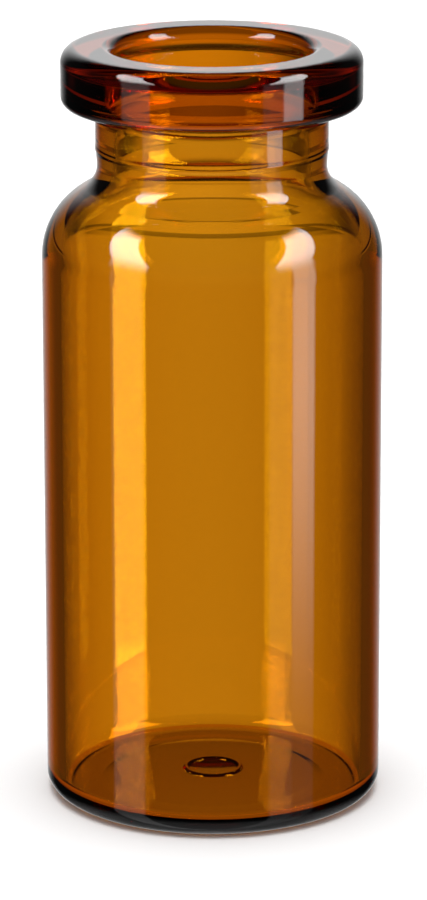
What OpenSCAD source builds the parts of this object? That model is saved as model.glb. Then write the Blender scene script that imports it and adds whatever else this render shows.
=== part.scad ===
// Amber tubular-glass vial with a 20 mm crimp finish, formed from one tube.
// Origin at the middle of the standing ring, +Z up the axis. Millimetres.
// One section is drawn in the plane of radius and height, and turned about the axis.

/* [Body] */
// Outer diameter of the body
body_d = 22; // [19:0.1:32]
// Overall height, from the standing ring to the mouth
total_h = 49.8; // [36:0.1:90]
// Thickness of the body wall
wall = 1.2; // [0.8:0.05:1.6]
// Outer radius of the heel, where the wall turns into the base
heel_r = 1.3; // [0.6:0.05:1.8]

/* [Base] */
// Thickness of the glass over the standing ring
floor_t = 0.9; // [0.6:0.05:2]
// Inner radius of the corner between the wall and the floor
floor_corner_r = 0.8; // [0.3:0.05:1.6]
// Diameter of the hollow under the base
hollow_d = 14.8; // [9:0.1:15]
// Height of the hollow under the base
hollow_h = 0.35; // [0.1:0.05:0.45]
// Diameter of the rise in the floor inside
rise_d = 13.4; // [8:0.1:14.6]
// Height of the rise in the floor inside
rise_h = 0.35; // [0.1:0.05:0.8]
// Diameter of the dimple where the tube was sealed
dimple_d = 3.3; // [2:0.1:5]
// Depth of the dimple
dimple_h = 0.2; // [0.1:0.05:0.3]
// Radius of the rounded rim of the dimple
dimple_rim_r = 0.25; // [0.15:0.05:0.3]

/* [Shoulder] */
// Outer radius of the round edge of the shoulder
shoulder_r = 5; // [2.5:0.1:5.6]
// Outer radius of the corner between the shoulder and the neck
fillet_r = 1.7; // [0.8:0.1:2.4]
// Steepest angle that the shoulder turns inwards, in degrees
shoulder_angle = 58; // [45:1:66]
// Thickness of the glass on the slope of the shoulder
shoulder_t = 0.95; // [0.7:0.05:1.3]
// Inner radius of the corner between the shoulder and the bore
bore_corner_r = 2.4; // [1:0.1:3]

/* [Neck] */
// Height of the finish, from the foot of the neck to the mouth
finish_h = 7.7; // [6.6:0.1:14]
// Outer diameter of the neck under the flange
neck_d = 15; // [14.8:0.1:16.5]
// Outer diameter at the foot of the neck
neck_foot_d = 14.8; // [14.4:0.1:15.4]
// Height of the taper at the foot of the neck
neck_taper_h = 1.5; // [0.6:0.1:2]
// Diameter of the bore through the neck
bore_d = 12.6; // [11.6:0.1:13.2]

/* [Flange] */
// Outer diameter of the crimp flange
flange_d = 19.4; // [18.8:0.1:20.2]
// Height of the crimp flange
flange_h = 3.8; // [3:0.1:4.4]
// Radius of the upper outer edge of the flange
flange_top_r = 1; // [0.3:0.05:1.3]
// Radius of the lower outer edge of the flange
flange_low_r = 0.65; // [0.2:0.05:1]
// Radius of the corner between the flange and the neck
flange_corner_r = 0.4; // [0.2:0.05:0.5]
// Radius of the round lip inside the mouth
lip_r = 0.8; // [0.65:0.05:1.1]

/* [Groove] */
// Depth of the groove under the lip
groove_depth = 0.55; // [0.3:0.05:0.7]
// Height of the straight side of the groove
groove_h = 1.3; // [0.6:0.1:2]
// Radius of the corner between the lip and the groove
groove_corner_r = 0.15; // [0.1:0.05:0.3]
// Steepest angle of the slope from the groove back to the bore, in degrees
groove_foot_angle = 30; // [24:1:50]

/* [Hidden] */
$fn = 192;
amber = [0.74, 0.44, 0.05];
// How far a cut runs past the face that it opens
cut_past = 1;
// How far a step runs on into what it joins at each end
step_lap = 0.5;
// Depth of the dimple rim's middle under the floor, as a share of its radius
rim_sink = 0.5;

body_r = body_d / 2;
inner_r = body_r - wall;
neck_r = neck_d / 2;
neck_foot_r = neck_foot_d / 2;
bore_r = bore_d / 2;
flange_r = flange_d / 2;
flange_z = total_h - flange_h;
neck_foot_z = total_h - finish_h;
floor_top_z = floor_t + rise_h;

// Radial steps of the shoulder, their round edges, and where they start and end
outer_step = body_r - neck_foot_r;
inner_step = inner_r - bore_r;
outer_edge_r = min(shoulder_r, edge_limit(outer_step, fillet_r, shoulder_angle));
inner_edge_r = min(outer_edge_r - wall, edge_limit(inner_step, bore_corner_r, shoulder_angle));
shoulder_z = neck_foot_z - step_h(outer_step, outer_edge_r, fillet_r, shoulder_angle);
inner_shoulder_z = shoulder_z
    + (wall * cos(shoulder_angle) + (outer_edge_r - inner_edge_r) * (1 - cos(shoulder_angle)) - shoulder_t)
    / sin(shoulder_angle);
bore_foot_z = inner_shoulder_z + step_h(inner_step, inner_edge_r, bore_corner_r, shoulder_angle);

// The lip, the groove under it and the rounding of the slope from the groove to the bore
lip_mid = [bore_r + lip_r, total_h - lip_r];
lip_under_angle = acos(1 - groove_depth / (lip_r + groove_corner_r));
groove_r = bore_r + groove_depth;
groove_top_z = lip_mid[1] - (lip_r + groove_corner_r) * sin(lip_under_angle);
groove_low_z = groove_top_z - groove_h;
groove_foot_r = edge_limit(groove_depth, 0, groove_foot_angle) / 2;

// Largest round edge that leaves room for the corner within a radial step
function edge_limit(step, corner_r, angle) = step / (1 - cos(angle)) - corner_r;

// Length of the straight slope between the round edge and the corner of a step
function slope_length(step, edge_r, corner_r, angle) =
    (step - (edge_r + corner_r) * (1 - cos(angle))) / sin(angle);

// Height that a step takes up from its round edge to its corner
function step_h(step, edge_r, corner_r, angle) =
    (edge_r + corner_r) * sin(angle) + slope_length(step, edge_r, corner_r, angle) * cos(angle);

// Radius of the sphere whose cap has this width and height
function cap_r(width, height) = (width * width / 4 + height * height) / (2 * height);

// Block from the axis to a radius, with its lower outer edge rounded
module round_foot(r, low_z, high_z, edge_r) {
    translate([0, low_z]) square([r - edge_r, high_z - low_z]);
    translate([0, low_z + edge_r]) square([r, high_z - low_z - edge_r]);
    translate([r - edge_r, low_z + edge_r]) circle(edge_r);
}

// Step in to a smaller radius, filled to the axis: a round edge, a slope and a round corner, all tangent
module step_in(low_r, high_r, edge_r, corner_r, angle) {
    turn = [cos(angle), sin(angle)];
    edge_mid = [low_r - edge_r, 0];
    corner_mid = [high_r + corner_r, step_h(low_r - high_r, edge_r, corner_r, angle)];
    translate([0, -step_lap]) square([low_r, step_lap]);
    square([high_r, corner_mid[1] + step_lap]);
    intersection() {
        translate(edge_mid) circle(edge_r);
        square([low_r, edge_r]);
    }
    difference() {
        polygon([
            [0, 0],
            edge_mid,
            edge_mid + edge_r * turn,
            corner_mid - corner_r * turn,
            corner_mid,
            [0, corner_mid[1]]
        ]);
        translate(corner_mid) circle(corner_r);
    }
}

// Neck, with a slight taper at its foot
module neck() {
    polygon([
        [0, neck_foot_z],
        [neck_foot_r, neck_foot_z],
        [neck_r, neck_foot_z + neck_taper_h],
        [neck_r, flange_z],
        [0, flange_z]
    ]);
}

// Crimp flange with rounded edges, and the round corner that joins it to the neck
module flange() {
    middle_h = flange_h / 2;
    round_foot(flange_r, flange_z, flange_z + middle_h, flange_low_r);
    translate([0, total_h]) mirror([0, 1]) round_foot(flange_r, 0, middle_h, flange_top_r);
    corner_mid = [neck_r + flange_corner_r, flange_z - flange_corner_r];
    difference() {
        translate([neck_r - flange_corner_r, corner_mid[1]]) square(2 * flange_corner_r);
        translate(corner_mid) circle(flange_corner_r);
    }
}

// Section of the vial as if it were solid glass
module outer_section() {
    difference() {
        union() {
            round_foot(body_r, 0, shoulder_z, heel_r);
            translate([0, shoulder_z]) step_in(body_r, neck_foot_r, outer_edge_r, fillet_r, shoulder_angle);
            neck();
            flange();
        }
        translate([0, hollow_h - cap_r(hollow_d, hollow_h)]) circle(cap_r(hollow_d, hollow_h));
    }
}

// Groove under the lip, filled to the axis. Its top corner touches the round of the lip.
module groove() {
    corner_mid = [groove_r - groove_corner_r, groove_top_z];
    polygon([[0, groove_low_z], [corner_mid[0], groove_low_z], corner_mid, lip_mid, [0, lip_mid[1]]]);
    translate(corner_mid) circle(groove_corner_r);
    translate([0, groove_low_z]) square([groove_r, groove_h]);
    translate([0, groove_low_z])
        mirror([0, 1])
            step_in(groove_r, bore_r, groove_foot_r, groove_foot_r, groove_foot_angle);
}

// Section of the space inside, open at the mouth
module inner_section() {
    dimple_r = dimple_d / 2;
    rim_z = floor_top_z - rim_sink * dimple_rim_r;
    difference() {
        union() {
            difference() {
                round_foot(inner_r, floor_t, inner_shoulder_z, floor_corner_r);
                translate([0, floor_top_z - cap_r(rise_d, rise_h)]) circle(cap_r(rise_d, rise_h));
            }
            translate([0, floor_top_z - dimple_h + cap_r(dimple_d, dimple_h)])
                circle(cap_r(dimple_d, dimple_h));
            translate([0, inner_shoulder_z])
                step_in(inner_r, bore_r, inner_edge_r, bore_corner_r, shoulder_angle);
            groove();
            translate([0, bore_foot_z]) square([bore_r, total_h - bore_foot_z + cut_past]);
            translate([0, lip_mid[1]]) square([lip_mid[0], lip_r + cut_past]);
        }
        translate([dimple_r + rim_sink * dimple_rim_r, rim_z]) circle(dimple_rim_r);
        translate(lip_mid) circle(lip_r);
    }
}

// The whole vial, one piece of glass
module vial() {
    color(amber)
        rotate_extrude()
            difference() {
                outer_section();
                inner_section();
            }
}

vial();
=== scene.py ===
import math

import bpy
from mathutils import Euler, Matrix, Vector


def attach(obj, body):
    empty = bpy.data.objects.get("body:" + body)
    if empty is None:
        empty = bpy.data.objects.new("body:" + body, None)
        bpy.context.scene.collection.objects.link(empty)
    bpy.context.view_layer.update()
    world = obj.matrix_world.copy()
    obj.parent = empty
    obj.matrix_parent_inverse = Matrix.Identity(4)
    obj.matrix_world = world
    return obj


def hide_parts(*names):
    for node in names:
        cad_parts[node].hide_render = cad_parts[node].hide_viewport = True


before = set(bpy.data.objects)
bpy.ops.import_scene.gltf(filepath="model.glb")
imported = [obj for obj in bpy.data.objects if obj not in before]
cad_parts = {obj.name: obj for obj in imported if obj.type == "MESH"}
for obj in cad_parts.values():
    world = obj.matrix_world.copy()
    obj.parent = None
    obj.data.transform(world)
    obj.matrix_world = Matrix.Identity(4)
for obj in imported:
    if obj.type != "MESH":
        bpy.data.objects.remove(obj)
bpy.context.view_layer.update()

MM = 0.001
TURN = 2 * math.pi
QUARTER = math.pi / 2

# Sizes of the vial in millimetres, the same as in the solid
BODY_R = 11.0
WALL = 1.2
TOTAL_H = 49.8
HEEL_R = 1.3
FLOOR_T = 0.9
FLOOR_CORNER_R = 0.8
HOLLOW_R = 7.4
HOLLOW_H = 0.35
RISE_R = 6.7
RISE_H = 0.35
DIMPLE_R = 1.65
DIMPLE_H = 0.2
DIMPLE_RIM_R = 0.25
RIM_SINK = 0.5
SHOULDER_R = 5.0
FILLET_R = 1.7
SHOULDER_ANGLE = math.radians(58)
SHOULDER_T = 0.95
BORE_CORNER_R = 2.4
FINISH_H = 7.7
NECK_R = 7.5
NECK_FOOT_R = 7.4
NECK_TAPER_H = 1.5
BORE_R = 6.3
FLANGE_R = 9.7
FLANGE_H = 3.8
FLANGE_TOP_R = 1.0
FLANGE_LOW_R = 0.65
FLANGE_CORNER_R = 0.4
LIP_R = 0.8
GROOVE_DEPTH = 0.55
GROOVE_H = 1.3
GROOVE_CORNER_R = 0.15
GROOVE_FOOT_ANGLE = math.radians(30)

# The faint ring that the forming roller left round the neck
RING_Z = 43.25
RING_HALF_H = 0.35
RING_RISE = 0.03

# How finely the section is turned and its curves are divided
AROUND = 320
ARC_STEP = math.radians(5.5)
LEAST_ARC_STEPS = 8
NECK_STEPS = 48
SLOPE_STEP = 0.001
JOIN = 0.0005


def step_height(step, edge_r, corner_r):
    """Height of the shoulder from the start of its round edge to the end of its corner."""
    rounds = edge_r + corner_r
    slope = (step - rounds * (1 - math.cos(SHOULDER_ANGLE))) / math.sin(SHOULDER_ANGLE)
    return rounds * math.sin(SHOULDER_ANGLE) + slope * math.cos(SHOULDER_ANGLE)


def cap_radius(half_width, height):
    """Radius of the sphere whose cap has this half width and height."""
    return (half_width ** 2 + height ** 2) / (2 * height)


def line(start, end):
    """Straight stretch of the section: points with their outward normals."""
    across = Vector((end[1] - start[1], start[0] - end[0])).normalized()
    return [(Vector(start), across), (Vector(end), across)]


def arc(middle, radius, start, end, side=1):
    """Round stretch of the section between two angles. Side is -1 where the glass lies round it."""
    steps = max(LEAST_ARC_STEPS, math.ceil(abs(end - start) / ARC_STEP))
    stretch = []
    for i in range(steps + 1):
        angle = start + (end - start) * i / steps
        way = Vector((math.cos(angle), math.sin(angle)))
        stretch.append((Vector(middle) + radius * way, side * way))
    return stretch


def neck_radius(z, low_z):
    """Outer radius of the neck at a height: a slight taper at its foot, and the faint ring."""
    share = min(max((z - low_z) / NECK_TAPER_H, 0), 1)
    taper = share * share * (3 - 2 * share)
    ring = math.cos(QUARTER * min(abs(z - RING_Z) / RING_HALF_H, 1)) ** 2
    return NECK_FOOT_R + (NECK_R - NECK_FOOT_R) * taper + RING_RISE * ring


def neck(low_z, high_z):
    """Outside of the neck from its foot to the corner under the flange."""
    stretch = []
    for i in range(NECK_STEPS + 1):
        z = low_z + (high_z - low_z) * i / NECK_STEPS
        rise = neck_radius(z + SLOPE_STEP, low_z) - neck_radius(z - SLOPE_STEP, low_z)
        normal = Vector((1, -rise / (2 * SLOPE_STEP))).normalized()
        stretch.append((Vector((neck_radius(z, low_z), z)), normal))
    return stretch


def meeting(mid_a, radius_a, mid_b, radius_b):
    """Where two circles of the section cross, on the outer side of the line between their middles."""
    apart = Vector(mid_b) - Vector(mid_a)
    along = (radius_a ** 2 - radius_b ** 2 + apart.length_squared) / (2 * apart.length)
    aside = math.sqrt(radius_a ** 2 - along ** 2)
    way = apart.normalized()
    return Vector(mid_a) + along * way + aside * Vector((way.y, -way.x))


def angle_of(middle, point):
    """Angle at which a point lies on a circle of the section."""
    return math.atan2(point[1] - middle[1], point[0] - middle[0])


def outside(foot_z, shoulder_z):
    """Section from the axis under the base, up the outside, to the flat top of the flange."""
    flange_z = TOTAL_H - FLANGE_H
    ball = cap_radius(HOLLOW_R, HOLLOW_H)
    corner_mid = (NECK_R + FLANGE_CORNER_R, flange_z - FLANGE_CORNER_R)
    low_edge_mid = (FLANGE_R - FLANGE_LOW_R, flange_z + FLANGE_LOW_R)
    top_edge_mid = (FLANGE_R - FLANGE_TOP_R, TOTAL_H - FLANGE_TOP_R)
    return [
        arc((0, HOLLOW_H - ball), ball, QUARTER, QUARTER - math.asin(HOLLOW_R / ball), -1),
        line((HOLLOW_R, 0), (BODY_R - HEEL_R, 0)),
        arc((BODY_R - HEEL_R, HEEL_R), HEEL_R, -QUARTER, 0),
        line((BODY_R, HEEL_R), (BODY_R, shoulder_z)),
        arc((BODY_R - SHOULDER_R, shoulder_z), SHOULDER_R, 0, SHOULDER_ANGLE),
        arc((NECK_FOOT_R + FILLET_R, foot_z), FILLET_R, math.pi + SHOULDER_ANGLE, math.pi, -1),
        neck(foot_z, corner_mid[1]),
        arc(corner_mid, FLANGE_CORNER_R, math.pi, QUARTER, -1),
        line((corner_mid[0], flange_z), (low_edge_mid[0], flange_z)),
        arc(low_edge_mid, FLANGE_LOW_R, -QUARTER, 0),
        line((FLANGE_R, low_edge_mid[1]), (FLANGE_R, top_edge_mid[1])),
        arc(top_edge_mid, FLANGE_TOP_R, 0, QUARTER),
        line((top_edge_mid[0], TOTAL_H), (BORE_R + LIP_R, TOTAL_H)),
    ]


def mouth_inside(bore_foot_z):
    """Section from the lip, round the groove under it, down the bore."""
    lip_mid = (BORE_R + LIP_R, TOTAL_H - LIP_R)
    under = math.acos(1 - GROOVE_DEPTH / (LIP_R + GROOVE_CORNER_R))
    groove_r = BORE_R + GROOVE_DEPTH
    groove_top = lip_mid[1] - (LIP_R + GROOVE_CORNER_R) * math.sin(under)
    groove_low = groove_top - GROOVE_H
    foot_r = GROOVE_DEPTH / (1 - math.cos(GROOVE_FOOT_ANGLE)) / 2
    foot_z = groove_low - 2 * foot_r * math.sin(GROOVE_FOOT_ANGLE)
    return [
        arc(lip_mid, LIP_R, QUARTER, math.pi + under),
        arc((groove_r - GROOVE_CORNER_R, groove_top), GROOVE_CORNER_R, under, 0, -1),
        line((groove_r, groove_top), (groove_r, groove_low)),
        arc((groove_r - foot_r, groove_low), foot_r, 0, -GROOVE_FOOT_ANGLE, -1),
        arc((BORE_R + foot_r, foot_z), foot_r, math.pi - GROOVE_FOOT_ANGLE, math.pi),
        line((BORE_R, foot_z), (BORE_R, bore_foot_z)),
    ]


def body_inside(shoulder_z, edge_r, bore_foot_z):
    """Section from the bore, down the inside of the body, to the axis on the floor."""
    inner_r = BODY_R - WALL
    corner_mid = (inner_r - FLOOR_CORNER_R, FLOOR_T + FLOOR_CORNER_R)
    rise_ball = cap_radius(RISE_R, RISE_H)
    rise_mid = (0, FLOOR_T + RISE_H - rise_ball)
    dimple_ball = cap_radius(DIMPLE_R, DIMPLE_H)
    dimple_mid = (0, FLOOR_T + RISE_H - DIMPLE_H + dimple_ball)
    rim_mid = (DIMPLE_R + RIM_SINK * DIMPLE_RIM_R, FLOOR_T + RISE_H - RIM_SINK * DIMPLE_RIM_R)
    rim_out = meeting(rise_mid, rise_ball, rim_mid, DIMPLE_RIM_R)
    rim_in = meeting(dimple_mid, dimple_ball, rim_mid, DIMPLE_RIM_R)
    return [
        arc((BORE_R + BORE_CORNER_R, bore_foot_z), BORE_CORNER_R, math.pi, math.pi + SHOULDER_ANGLE),
        arc((inner_r - edge_r, shoulder_z), edge_r, SHOULDER_ANGLE, 0, -1),
        line((inner_r, shoulder_z), (inner_r, corner_mid[1])),
        arc(corner_mid, FLOOR_CORNER_R, 0, -QUARTER, -1),
        line((corner_mid[0], FLOOR_T), (RISE_R, FLOOR_T)),
        arc(rise_mid, rise_ball, QUARTER - math.asin(RISE_R / rise_ball), angle_of(rise_mid, rim_out)),
        arc(rim_mid, DIMPLE_RIM_R, angle_of(rim_mid, rim_out), angle_of(rim_mid, rim_in)),
        arc(dimple_mid, dimple_ball, angle_of(dimple_mid, rim_in), -QUARTER, -1),
    ]


def section():
    """The whole section, round the outside and back down the inside."""
    foot_z = TOTAL_H - FINISH_H
    inner_edge_r = SHOULDER_R - WALL
    shoulder_z = foot_z - step_height(BODY_R - NECK_FOOT_R, SHOULDER_R, FILLET_R)
    inner_shoulder_z = shoulder_z + (WALL - SHOULDER_T) / math.sin(SHOULDER_ANGLE)
    bore_foot_z = inner_shoulder_z + step_height(BODY_R - WALL - BORE_R, inner_edge_r, BORE_CORNER_R)
    stretches = outside(foot_z, shoulder_z)
    stretches += mouth_inside(bore_foot_z)
    stretches += body_inside(inner_shoulder_z, inner_edge_r, bore_foot_z)
    return stretches


def rings_and_bands(stretches):
    """The section's points, and the bands between them with the normals at both their ends."""
    rings = []
    bands = []
    normal_before = None
    for stretch in stretches:
        for place, (point, normal) in enumerate(stretch):
            joined = place == 0 and rings and (rings[-1] - point).length < JOIN
            if not joined:
                rings.append(point)
                if normal_before is not None:
                    bands.append((len(rings) - 2, normal_before, normal))
            normal_before = normal
    return rings, bands


def turned_mesh(name, stretches):
    """Turns the section about the axis into a closed mesh whose normals are exact."""
    rings, bands = rings_and_bands(stretches)
    ways = [(math.cos(TURN * i / AROUND), math.sin(TURN * i / AROUND)) for i in range(AROUND)]
    vertices = []
    first = []
    for radius, z in rings:
        first.append(len(vertices))
        for x, y in ways[:1] if radius < JOIN else ways:
            vertices.append((radius * x * MM, radius * y * MM, z * MM))
    faces = []
    normals = []
    for low, low_normal, high_normal in bands:
        high = low + 1
        for i in range(AROUND):
            after = (i + 1) % AROUND
            corners = [(low, i, low_normal), (low, after, low_normal)]
            corners += [(high, after, high_normal), (high, i, high_normal)]
            if rings[low].x < JOIN:
                corners.pop(0)
            elif rings[high].x < JOIN:
                corners.pop(2)
            face = []
            for ring, turn, normal in corners:
                on_axis = rings[ring].x < JOIN
                face.append(first[ring] + (0 if on_axis else turn))
                normals.append((normal.x * ways[turn][0], normal.x * ways[turn][1], normal.y))
            faces.append(face)
    mesh = bpy.data.meshes.new(name)
    mesh.from_pydata(vertices, [], faces)
    mesh.polygons.foreach_set("use_smooth", [True] * len(faces))
    mesh.normals_split_custom_set(normals)
    mesh.update()
    return mesh


class Shading:
    """Adds nodes to one node tree."""

    def __init__(self, tree):
        self.tree = tree
        tree.nodes.clear()

    def add(self, kind, **settings):
        node = self.tree.nodes.new(kind)
        for key, value in settings.items():
            setattr(node, key, value)
        return node

    def put(self, socket, value):
        if isinstance(value, bpy.types.NodeSocket):
            self.tree.links.new(value, socket)
        else:
            socket.default_value = value

    def math(self, operation, *values):
        node = self.add("ShaderNodeMath", operation=operation)
        for socket, value in zip(node.inputs, values):
            self.put(socket, value)
        return node.outputs["Value"]

    def times(self, *values):
        """Product of any number of values."""
        product = values[0]
        for value in values[1:]:
            product = self.math("MULTIPLY", product, value)
        return product

    def plus(self, *values):
        """Sum of any number of values."""
        total = values[0]
        for value in values[1:]:
            total = self.math("ADD", total, value)
        return total

    def ramp(self, value, start, end, low, high):
        """Goes smoothly from low at start to high at end, and stays there."""
        node = self.add("ShaderNodeMapRange", interpolation_type="SMOOTHSTEP")
        settings = {"Value": value, "From Min": start, "From Max": end, "To Min": low, "To Max": high}
        for key, setting in settings.items():
            self.put(node.inputs[key], setting)
        return node.outputs["Result"]

    def mix(self, share, first, second):
        """A number between two others."""
        node = self.add("ShaderNodeMix", data_type="FLOAT")
        for key, setting in {"Factor": share, "A": first, "B": second}.items():
            self.put(node.inputs[key], setting)
        return node.outputs["Result"]

    def noise(self, stretch):
        """Smooth noise over the object, stretched along its axes."""
        coords = self.add("ShaderNodeTexCoord")
        mapping = self.add("ShaderNodeMapping")
        self.put(mapping.inputs["Vector"], coords.outputs["Object"])
        mapping.inputs["Scale"].default_value = stretch
        noise = self.add("ShaderNodeTexNoise")
        noise.inputs["Scale"].default_value = 1.0
        self.put(noise.inputs["Vector"], mapping.outputs["Vector"])
        return noise.outputs["Fac"]

    def window(self, value, span, soft):
        """1 within a span, with soft edges."""
        rise = self.ramp(value, span[0] - soft, span[0] + soft, 0.0, 1.0)
        fall = self.ramp(value, span[1] - soft, span[1] + soft, 1.0, 0.0)
        return self.math("MULTIPLY", rise, fall)


def span_of(start, end):
    """Two angles in degrees, as radians."""
    return (math.radians(start), math.radians(end))


# The studio. Azimuth is counted from straight behind the vial, positive to the right.
# The camera sees it as plain white. Other rays see this share of the levels below.
# The tinted strips have their full level.
WHITE = (1, 1, 1, 1)
STUDIO_SHARE = 0.8

# White backdrop and table behind the vial, seen through the glass
BACKDROP_LEFT_FADE = span_of(-38, -6)
BACKDROP_RIGHT_FADE = span_of(-4, 34)
BETWEEN_LEVEL = 0.12
NARROW_FADE = span_of(-12.9, -12.5)
NARROW_BY = 2.4
NEAR_LEVEL = 1.2
FAR_LEVEL = 1.4
HORIZON = span_of(-12.12, -11.42)
HORIZON_SOFT = math.radians(0.06)
HORIZON_DIP = 0.53
TABLE_FADE = span_of(-30, -20)
TABLE_LEVEL = 0.4
TOP_FADE = span_of(-6, 5)
TOP_LEVEL = 0.08

# Two bright stretches of the table, which carry the softboxes' strips on to the floor of the vial
STRIP_FADE = span_of(-18.15, -17.85)
STRIP_SOFT = math.radians(0.1)
LEFT_STRIP = span_of(-5.7, -3.2)
LEFT_STRIP_GAIN = 1.1
RIGHT_STRIP = span_of(2.5, 3.6)
RIGHT_STRIP_GAIN = 0.4

# How much of the backdrop is left for light that has bounced inside the glass, and the table that it sees
BOUNCED_FADE = span_of(42, 60)
BOUNCED_SHARE = 0.12
BOUNCED_TABLE_FADE = span_of(-45, -25)
BOUNCED_TABLE = 0.8
FLANGE_FADE = span_of(-11.95, -11.75)
FLANGE_SHARE = 0.06

# Glow at the edges of the body and the neck, where the front wall turns light back inside the glass
BODY_EDGE_SPAN = span_of(-22, -12.9)
BODY_EDGE_GLOW = 0.12
NECK_EDGE_SPANS = (span_of(-12.8, -11.9), span_of(-10.5, 2))
NECK_EDGE_GLOW = 0.55
EDGE_SOFT = math.radians(0.1)

# Pale room round the rest, seen straight through the glass
ROOM_START = span_of(48, 70)
ROOM_LEVEL = 0.65
ROOM_LOW_FADE = span_of(-65, -45)
ROOM_LOW_LEVEL = 0.4
ROOM_TOP_FADE = span_of(-11.95, -11.75)
ROOM_TOP_LEVEL = 0.08

# Backdrop and table, as the outside of the glass mirrors them
MIRROR_FADE = span_of(0, 38)
MIRROR_LEVEL = 0.015
MIRROR_LOW_FADE = span_of(-42, -24)
MIRROR_TABLE = 0.3
MIRROR_RISE = span_of(-8, 5)
MIRROR_HIGH = 1.6
MIRROR_TOP_FADE = span_of(22, 36)
MIRROR_FLOOR_FADE = span_of(-50, -25)
MIRROR_FLOOR = 0.4

# Two softboxes in front, as the outside of the glass mirrors them.
# Each has a dim foot and a bright head that leans out to the side.
BOX_SOFT = math.radians(1.5)
LEFT_FOOT = span_of(-132, -108)
LEFT_FOOT_LEVEL = 0.75
RIGHT_FOOT = span_of(107, 124)
RIGHT_FOOT_LEVEL = 4.5
RIGHT_FOOT_FADE = span_of(-19.5, -14.5)
RIGHT_FOOT_LOW = 0.05
RIGHT_GLOW = span_of(124, 141)
RIGHT_GLOW_LEVEL = 0.4
LEFT_HEAD = span_of(-135, -105)
RIGHT_HEAD = span_of(105, 135)
HEAD_LEVEL = 14.0
HEAD_START = span_of(8, 30)
HEAD_TOP_FADE = span_of(46, 56)
HEAD_LEAN = 0.88
LEAN_START = math.radians(20)

# The same softboxes, as the inside of the back wall mirrors them in tinted strips
LEFT_INSIDE = span_of(-137, -112)
LEFT_INSIDE_LEVEL = 12.0
RIGHT_INSIDE = span_of(92, 124)
RIGHT_INSIDE_LEVEL = 34.0
INSIDE_NECK_FADE = span_of(-13.0, -12.4)
INSIDE_NECK_SHARE = 0.15
INSIDE_RISE = span_of(0, 14)
INSIDE_HIGH = 6.0
INSIDE_COLOUR = (0.7, 1.0, 0.9, 1)

# How many faces of the glass light has passed when it has bounced inside the front or the back wall
FRONT_WALL_DEPTH = 2
BACK_WALL_DEPTH = 4
DEPTH_MARGIN = 0.5

# Light on the floor
DOME_FADE = span_of(58, 78)
DOME_LEVEL = 0.65
DOME_TOP_LEVEL = 8.5


def backdrop(shading, azimuth, elevation):
    """White behind the vial: the table, a dim line at its far edge, and the wall above it."""
    across = shading.times(azimuth, shading.ramp(elevation, *NARROW_FADE, 1.0, NARROW_BY))
    left = shading.ramp(across, *BACKDROP_LEFT_FADE, BETWEEN_LEVEL, 1.0)
    right = shading.ramp(across, *BACKDROP_RIGHT_FADE, 1.0, BETWEEN_LEVEL)
    level = shading.ramp(elevation, *HORIZON, NEAR_LEVEL, FAR_LEVEL)
    dip = shading.times(shading.window(elevation, HORIZON, HORIZON_SOFT), HORIZON_DIP)
    line_share = shading.math("SUBTRACT", 1.0, dip)
    low = shading.ramp(elevation, *TABLE_FADE, TABLE_LEVEL, 1.0)
    top = shading.ramp(elevation, *TOP_FADE, 1.0, TOP_LEVEL)
    strips = 1.0
    reach = shading.ramp(elevation, *STRIP_FADE, 1.0, 0.0)
    for span, gain in ((LEFT_STRIP, LEFT_STRIP_GAIN), (RIGHT_STRIP, RIGHT_STRIP_GAIN)):
        strip = shading.times(shading.window(azimuth, span, STRIP_SOFT), gain, reach)
        strips = shading.plus(strips, strip)
    return shading.times(left, right, level, line_share, low, top, strips)


def room(shading, away, elevation):
    """Pale surroundings on the other sides."""
    across = shading.ramp(away, *ROOM_START, 0.0, ROOM_LEVEL)
    low = shading.ramp(elevation, *ROOM_LOW_FADE, ROOM_LOW_LEVEL, 1.0)
    top = shading.ramp(elevation, *ROOM_TOP_FADE, 1.0, ROOM_TOP_LEVEL)
    return shading.times(across, low, top)


def mirrored_backdrop(shading, away, elevation):
    """The backdrop in the outside of the glass, and the table all round."""
    across = shading.ramp(away, *MIRROR_FADE, 1.0, MIRROR_LEVEL)
    low = shading.ramp(elevation, *MIRROR_LOW_FADE, MIRROR_TABLE, 1.0)
    high = shading.ramp(elevation, *MIRROR_RISE, 1.0, MIRROR_HIGH)
    top = shading.ramp(elevation, *MIRROR_TOP_FADE, 1.0, MIRROR_LEVEL)
    floor = shading.ramp(elevation, *MIRROR_FLOOR_FADE, MIRROR_FLOOR, 0.0)
    return shading.plus(shading.times(across, low, high, top), floor)


def outer_boxes(shading, azimuth, elevation):
    """The two softboxes in the outside of the glass."""
    head = shading.ramp(elevation, *HEAD_START, 0.0, 1.0)
    foot = shading.math("SUBTRACT", 1.0, head)
    right_fade = shading.ramp(elevation, *RIGHT_FOOT_FADE, RIGHT_FOOT_LOW, 1.0)
    left_foot = shading.times(shading.window(azimuth, LEFT_FOOT, BOX_SOFT), LEFT_FOOT_LEVEL)
    right_foot = shading.times(shading.window(azimuth, RIGHT_FOOT, BOX_SOFT), RIGHT_FOOT_LEVEL, right_fade)
    right_glow = shading.times(shading.window(azimuth, RIGHT_GLOW, BOX_SOFT), RIGHT_GLOW_LEVEL)
    light = shading.times(foot, shading.plus(left_foot, right_foot, right_glow))
    above = shading.math("MAXIMUM", shading.math("SUBTRACT", elevation, LEAN_START), 0.0)
    top = shading.ramp(elevation, *HEAD_TOP_FADE, 1.0, 0.0)
    for span, lean in ((LEFT_HEAD, -HEAD_LEAN), (RIGHT_HEAD, HEAD_LEAN)):
        upright = shading.plus(azimuth, shading.times(above, lean))
        box = shading.times(shading.window(upright, span, BOX_SOFT), head, top, HEAD_LEVEL)
        light = shading.plus(light, box)
    return light


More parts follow.
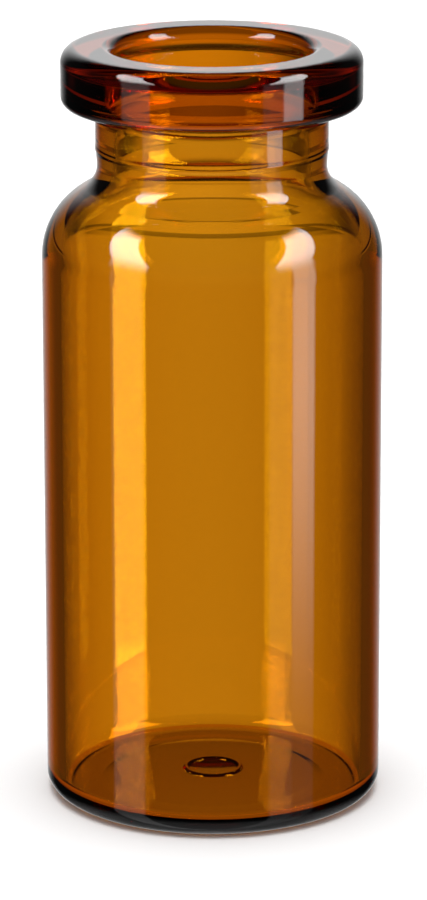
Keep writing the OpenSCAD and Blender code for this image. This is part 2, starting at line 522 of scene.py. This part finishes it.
def inner_boxes(shading, azimuth, elevation):
    """The lower and the upper part of the two softboxes in the inside of the back wall."""
    left = shading.times(shading.window(azimuth, LEFT_INSIDE, BOX_SOFT), LEFT_INSIDE_LEVEL)
    right = shading.times(shading.window(azimuth, RIGHT_INSIDE, BOX_SOFT), RIGHT_INSIDE_LEVEL)
    boxes = shading.plus(left, right)
    low = shading.ramp(elevation, *INSIDE_NECK_FADE, 1.0, INSIDE_NECK_SHARE)
    high = shading.ramp(elevation, *INSIDE_RISE, 0.0, INSIDE_HIGH)
    top = shading.ramp(elevation, *HEAD_TOP_FADE, 1.0, 0.0)
    lower = shading.times(boxes, low, shading.math("LESS_THAN", elevation, 0.0))
    return lower, shading.times(boxes, high, top)


def bounced_light(shading, behind, away, elevation, outer, depth):
    """What light that bounced inside the glass sees. The depth tells which wall it bounced off."""
    kept = shading.times(behind, shading.ramp(away, *BOUNCED_FADE, 1.0, BOUNCED_SHARE))
    table = shading.ramp(elevation, *BOUNCED_TABLE_FADE, BOUNCED_TABLE, 0.0)
    off_front = shading.math("COMPARE", depth, FRONT_WALL_DEPTH, DEPTH_MARGIN)
    flange = shading.ramp(elevation, *FLANGE_FADE, 1.0, FLANGE_SHARE)
    kept = shading.times(kept, shading.mix(off_front, 1.0, flange))
    edges = [(BODY_EDGE_SPAN, BODY_EDGE_GLOW)]
    edges += [(span, NECK_EDGE_GLOW) for span in NECK_EDGE_SPANS]
    shallow = outer
    for span, level in edges:
        glow = shading.times(shading.window(elevation, span, EDGE_SOFT), level)
        shallow = shading.plus(shallow, glow)
    return shading.plus(kept, table, shading.times(shallow, off_front))


def dome(shading, elevation):
    """Light on the floor, most of it from straight above."""
    return shading.ramp(elevation, *DOME_FADE, DOME_LEVEL, DOME_TOP_LEVEL)


def ray_lights(shading, azimuth, elevation):
    """What each kind of ray sees of the studio: its plain light, and the tinted strips in the back wall."""
    path = shading.add("ShaderNodeLightPath")
    through_glass = path.outputs["Is Transmission Ray"]
    depth = path.outputs["Transmission Depth"]
    has_bounced = shading.math("MINIMUM", path.outputs["Glossy Depth"], 1.0)
    from_floor = shading.math("MINIMUM", path.outputs["Diffuse Depth"], 1.0)
    not_from_floor = shading.math("SUBTRACT", 1.0, from_floor)
    off_back = shading.math("COMPARE", depth, BACK_WALL_DEPTH, DEPTH_MARGIN)

    away = shading.math("ABSOLUTE", azimuth)
    behind = backdrop(shading, azimuth, elevation)
    outer = outer_boxes(shading, azimuth, elevation)
    lower, upper = inner_boxes(shading, azimuth, elevation)
    straight = shading.plus(behind, room(shading, away, elevation))
    bounced = bounced_light(shading, behind, away, elevation, outer, depth)
    bounced = shading.plus(bounced, shading.times(upper, off_back))
    through = shading.mix(has_bounced, straight, bounced)
    mirrored = shading.plus(mirrored_backdrop(shading, away, elevation), outer)
    on_floor = dome(shading, elevation)

    light = shading.mix(path.outputs["Is Glossy Ray"], on_floor, mirrored)
    light = shading.mix(through_glass, light, through)
    light = shading.mix(from_floor, light, on_floor)
    light = shading.times(light, STUDIO_SHARE)
    light = shading.mix(path.outputs["Is Camera Ray"], light, 1.0)
    strips = shading.times(lower, has_bounced, off_back, through_glass, not_from_floor)
    return light, strips


def make_world():
    """The studio all round the vial."""
    world = bpy.data.worlds.new("studio")
    world.use_nodes = True
    shading = Shading(world.node_tree)
    coords = shading.add("ShaderNodeTexCoord")
    split = shading.add("ShaderNodeSeparateXYZ")
    shading.put(split.inputs["Vector"], coords.outputs["Generated"])
    azimuth = shading.math("ARCTAN2", split.outputs["X"], split.outputs["Y"])
    elevation = shading.math("ARCSINE", split.outputs["Z"])
    light, strips = ray_lights(shading, azimuth, elevation)
    both = shading.add("ShaderNodeAddShader")
    for socket, colour, strength in zip(both.inputs, (WHITE, INSIDE_COLOUR), (light, strips)):
        background = shading.add("ShaderNodeBackground")
        background.inputs["Color"].default_value = colour
        shading.put(background.inputs["Strength"], strength)
        shading.put(socket, background.outputs["Background"])
    output = shading.add("ShaderNodeOutputWorld")
    shading.put(output.inputs["Surface"], both.outputs["Shader"])
    bpy.context.scene.world = world


# White floor, which carries the vial's shadow
FLOOR_HALF = 6.0
FLOOR_COLOUR = (0.92, 0.92, 0.92, 1)

# Painted shade: glowing patch for the table under the base, which the vial shades and tints amber, seen
# only through the glass
PATCH_R = 11.6
PATCH_DROP = 0.2
SHADED_TABLE_COLOUR = (0.42, 0.27, 0.12, 1)
# Painted light: the patch glows brighter towards its rim
PATCH_RIM = (9.6 * MM, 10.8 * MM)
PATCH_RIM_LIGHT = 1.5
PATCH_SIDES = 96


def stage_object(name, corners, shader_kind, colour):
    """One flat staged face with a plain shader."""
    mesh = bpy.data.meshes.new(name)
    mesh.from_pydata(corners, [], [list(range(len(corners)))])
    staged = bpy.data.objects.new(name, mesh)
    bpy.context.scene.collection.objects.link(staged)
    material = bpy.data.materials.new(name)
    material.use_nodes = True
    shading = Shading(material.node_tree)
    shader = shading.add(shader_kind)
    shader.inputs["Color"].default_value = colour
    output = shading.add("ShaderNodeOutputMaterial")
    shading.put(output.inputs["Surface"], shader.outputs[0])
    mesh.materials.append(material)
    return staged, shading, shader


def make_floor():
    """The floor, hidden from light that the glass mirrors or lets through."""
    corners = [(x * FLOOR_HALF, y * FLOOR_HALF, 0) for x, y in ((-1, -1), (1, -1), (1, 1), (-1, 1))]
    floor, _, _ = stage_object("floor", corners, "ShaderNodeBsdfDiffuse", FLOOR_COLOUR)
    floor.visible_glossy = False
    floor.visible_transmission = False


def make_painted_shade():
    """The patch of painted shade under the base, with painted light that makes it brighter at its rim."""
    radius = PATCH_R * MM
    corners = []
    for i in range(PATCH_SIDES):
        angle = TURN * i / PATCH_SIDES
        corners.append((radius * math.cos(angle), radius * math.sin(angle), -PATCH_DROP * MM))
    # Painted shade of the table under the base, as a dim amber glow
    painted_shade_patch, shading, glow = stage_object("painted_shade_patch", corners, "ShaderNodeEmission", SHADED_TABLE_COLOUR)
    coords = shading.add("ShaderNodeTexCoord")
    from_axis = shading.add("ShaderNodeVectorMath", operation="LENGTH")
    shading.put(from_axis.inputs[0], coords.outputs["Object"])
    # Painted light, brighter towards the rim of the patch
    strength = shading.ramp(from_axis.outputs["Value"], *PATCH_RIM, 1.0, PATCH_RIM_LIGHT)
    shading.put(glow.inputs["Strength"], strength)
    painted_shade_patch.visible_camera = False
    painted_shade_patch.visible_diffuse = False
    painted_shade_patch.visible_glossy = False
    painted_shade_patch.visible_shadow = False


# Amber glass, coloured by what it absorbs on the way through
GLASS_IOR = 1.5
GLASS_TINT = (0.910, 0.723, 0.0, 1.0)
GLASS_DENSITY = 2310.0

# Faint streaks of drawn glass, long up the axis
STRIAE_STRETCH = (200, 200, 12)
STRIAE_SPAN = (0.3, 0.7)
STRIAE_STRENGTH = 0.2
STRIAE_HEIGHT = 4e-6
POLISH = (0.002, 0.012)


def make_glass():
    """Clear glass with faint streaks in its surface, and the amber inside it."""
    material = bpy.data.materials.new("amber_glass")
    material.use_nodes = True
    shading = Shading(material.node_tree)
    glass = shading.add("ShaderNodeBsdfPrincipled")
    glass.inputs["Base Color"].default_value = WHITE
    glass.inputs["Transmission Weight"].default_value = 1.0
    glass.inputs["IOR"].default_value = GLASS_IOR
    striae = shading.noise(STRIAE_STRETCH)
    shading.put(glass.inputs["Roughness"], shading.ramp(striae, *STRIAE_SPAN, *POLISH))
    bump = shading.add("ShaderNodeBump")
    bump.inputs["Strength"].default_value = STRIAE_STRENGTH
    bump.inputs["Distance"].default_value = STRIAE_HEIGHT
    shading.put(bump.inputs["Height"], striae)
    shading.put(glass.inputs["Normal"], bump.outputs["Normal"])
    absorb = shading.add("ShaderNodeVolumeAbsorption")
    absorb.inputs["Color"].default_value = GLASS_TINT
    absorb.inputs["Density"].default_value = GLASS_DENSITY
    output = shading.add("ShaderNodeOutputMaterial")
    shading.put(output.inputs["Surface"], glass.outputs["BSDF"])
    shading.put(output.inputs["Volume"], absorb.outputs["Volume"])
    return material


def make_vial():
    """The vial's mesh, in the place of the solid."""
    mesh = turned_mesh("vial_glass", section())
    vial = bpy.data.objects.new("vial_glass", mesh)
    bpy.context.scene.collection.objects.link(vial)
    mesh.materials.append(make_glass())
    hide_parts("vial")
    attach(vial, "root")


# Camera, fitted to the outline in the photo
CAMERA_PLACE = (0.0, -0.3067, 0.1092)
CAMERA_PITCH = math.radians(15.70)
CAMERA_ROLL = math.radians(-0.097)
LENS = 195.1
SENSOR = 36.0
SHIFT_X = 0.0011
CLIP_START = 0.01


def make_camera():
    """The camera, in its place and turned to the vial."""
    data = bpy.data.cameras.new("camera")
    data.lens = LENS
    data.sensor_width = SENSOR
    data.shift_x = SHIFT_X
    data.clip_start = CLIP_START
    camera = bpy.data.objects.new("camera", data)
    bpy.context.scene.collection.objects.link(camera)
    tilt = Euler((QUARTER - CAMERA_PITCH, 0, 0)).to_matrix()
    aim = tilt @ Matrix.Rotation(CAMERA_ROLL, 3, "Z")
    camera.matrix_world = Matrix.Translation(CAMERA_PLACE) @ aim.to_4x4()
    bpy.context.scene.camera = camera


# How often light may bounce, so that it gets through every face of the glass
GLASS_BOUNCES = 24
GLOSSY_BOUNCES = 16


def set_render():
    """Plain colours, and enough bounces for the glass."""
    scene = bpy.context.scene
    scene.view_settings.view_transform = "Standard"
    scene.cycles.max_bounces = GLASS_BOUNCES
    scene.cycles.glossy_bounces = GLOSSY_BOUNCES
    scene.cycles.transmission_bounces = GLASS_BOUNCES


make_vial()
make_floor()
make_painted_shade()
make_world()
make_camera()
set_render()
